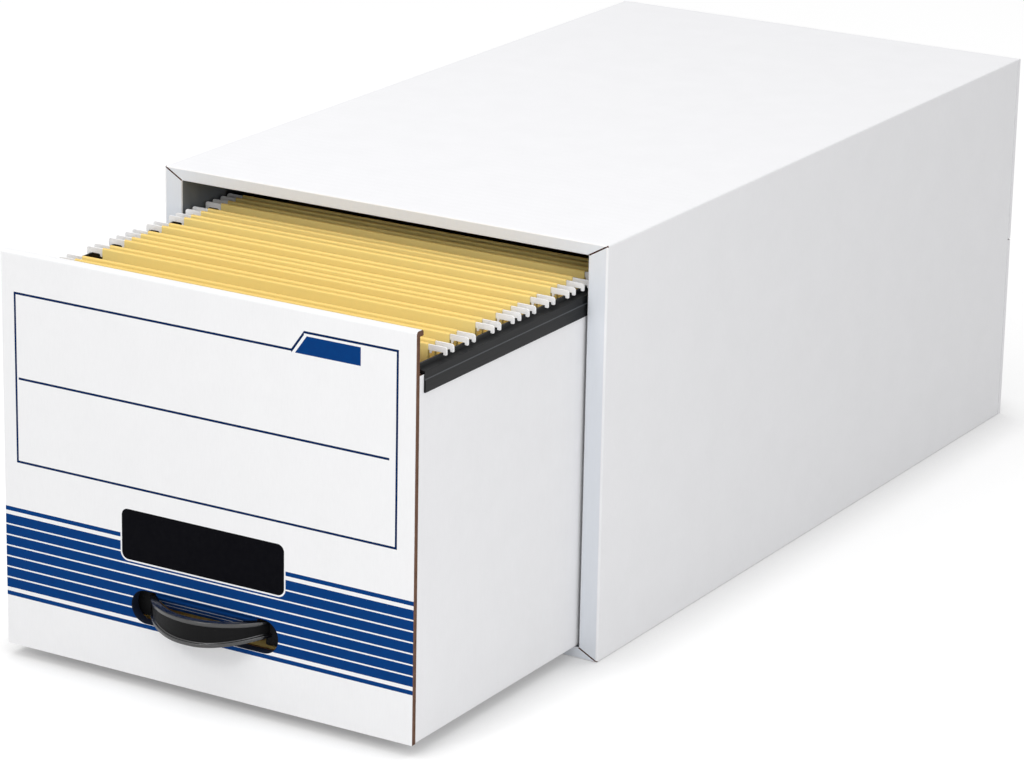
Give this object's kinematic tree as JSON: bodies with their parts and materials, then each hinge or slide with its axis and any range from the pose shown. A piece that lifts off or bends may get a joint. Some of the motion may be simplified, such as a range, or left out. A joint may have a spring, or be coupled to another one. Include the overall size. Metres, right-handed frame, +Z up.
{
  "type": "file box with drawer",
  "caption": "Corrugated file box: a steel-framed sleeve with a pull-out drawer, plastic rails, an arched handle and hanging folders.",
  "frame": {"origin": "middle of the sleeve's underside", "axes": "+Z up, the drawer opens towards -Y, +X to the right of someone facing the drawer"},
  "size_m": [0.3556, 0.8757, 0.2921],
  "materials": {
    "white_board": "white-lined corrugated board, matt",
    "grey_lining": "corrugated board with its dark grey lining showing, matt",
    "printed_board": "white-lined corrugated board with a blue striped print",
    "sheet_steel": "galvanised sheet",
    "black_rail": "extruded plastic, satin",
    "black_handle": "moulded plastic, fine grain",
    "folder_card": "goldenrod card",
    "coated_rod": "white-coated steel strip"
  },
  "bodies": {
    "sleeve": {"shell_top": "white_board", "shell_bottom": "white_board", "shell_side_left": "white_board", "shell_side_right": "white_board", "front_lip_top": "white_board", "front_lip_bottom": "white_board", "front_lip_left": "white_board", "front_lip_right": "white_board", "front_tuck_top": "grey_lining", "front_tuck_left": "grey_lining", "front_tuck_right": "grey_lining", "floor_liner": "white_board", "back_flap_inner_left": "grey_lining", "back_flap_inner_right": "grey_lining", "back_flap_outer_bottom": "white_board", "back_flap_outer_top": "white_board", "front_steel_frame": "sheet_steel", "rear_steel_frame": "sheet_steel"},
    "drawer": {"drawer_front_outer": "printed_board", "drawer_front_inner": "white_board", "drawer_bottom": "white_board", "drawer_side_left": "white_board", "drawer_side_right": "white_board", "drawer_back_inner": "white_board", "drawer_back_outer": "white_board", "file_rail_left": "black_rail", "file_rail_right": "black_rail", "handle_flap": "printed_board", "pull_handle": "black_handle"},
    "hanging_folder_01": {"folder_01": "folder_card", "folder_rods_01": "coated_rod"},
    "hanging_folder_02": {"folder_02": "folder_card", "folder_rods_02": "coated_rod"},
    "hanging_folder_03": {"folder_03": "folder_card", "folder_rods_03": "coated_rod"},
    "hanging_folder_04": {"folder_04": "folder_card", "folder_rods_04": "coated_rod"},
    "hanging_folder_05": {"folder_05": "folder_card", "folder_rods_05": "coated_rod"},
    "hanging_folder_06": {"folder_06": "folder_card", "folder_rods_06": "coated_rod"},
    "hanging_folder_07": {"folder_07": "folder_card", "folder_rods_07": "coated_rod"},
    "hanging_folder_08": {"folder_08": "folder_card", "folder_rods_08": "coated_rod"},
    "hanging_folder_09": {"folder_09": "folder_card", "folder_rods_09": "coated_rod"},
    "hanging_folder_10": {"folder_10": "folder_card", "folder_rods_10": "coated_rod"}
  },
  "joints": [
    {"name": "drawer_slide", "type": "slide", "parent": "sleeve", "child": "drawer", "axis": [0, -1, 0], "range_m": [-0.206, 0.27]},
    {"name": "folder_01_slide", "type": "slide", "parent": "drawer", "child": "hanging_folder_01", "axis": [0, 1, 0], "range_m": [-0.012, 0.0069]},
    {"name": "folder_02_slide", "type": "slide", "parent": "drawer", "child": "hanging_folder_02", "axis": [0, 1, 0], "range_m": [-0.0069, 0.0096]},
    {"name": "folder_03_slide", "type": "slide", "parent": "drawer", "child": "hanging_folder_03", "axis": [0, 1, 0], "range_m": [-0.0096, 0.0065]},
    {"name": "folder_04_slide", "type": "slide", "parent": "drawer", "child": "hanging_folder_04", "axis": [0, 1, 0], "range_m": [-0.0065, 0.0035]},
    {"name": "folder_05_slide", "type": "slide", "parent": "drawer", "child": "hanging_folder_05", "axis": [0, 1, 0], "range_m": [-0.0035, 0.0063]},
    {"name": "folder_06_slide", "type": "slide", "parent": "drawer", "child": "hanging_folder_06", "axis": [0, 1, 0], "range_m": [-0.0063, 0.0073]},
    {"name": "folder_07_slide", "type": "slide", "parent": "drawer", "child": "hanging_folder_07", "axis": [0, 1, 0], "range_m": [-0.0073, 0.0042]},
    {"name": "folder_08_slide", "type": "slide", "parent": "drawer", "child": "hanging_folder_08", "axis": [0, 1, 0], "range_m": [-0.0042, 0.0062]},
    {"name": "folder_09_slide", "type": "slide", "parent": "drawer", "child": "hanging_folder_09", "axis": [0, 1, 0], "range_m": [-0.0062, 0.0032]},
    {"name": "folder_10_slide", "type": "slide", "parent": "drawer", "child": "hanging_folder_10", "axis": [0, 1, 0], "range_m": [-0.0032, 0.012]}
  ]
}
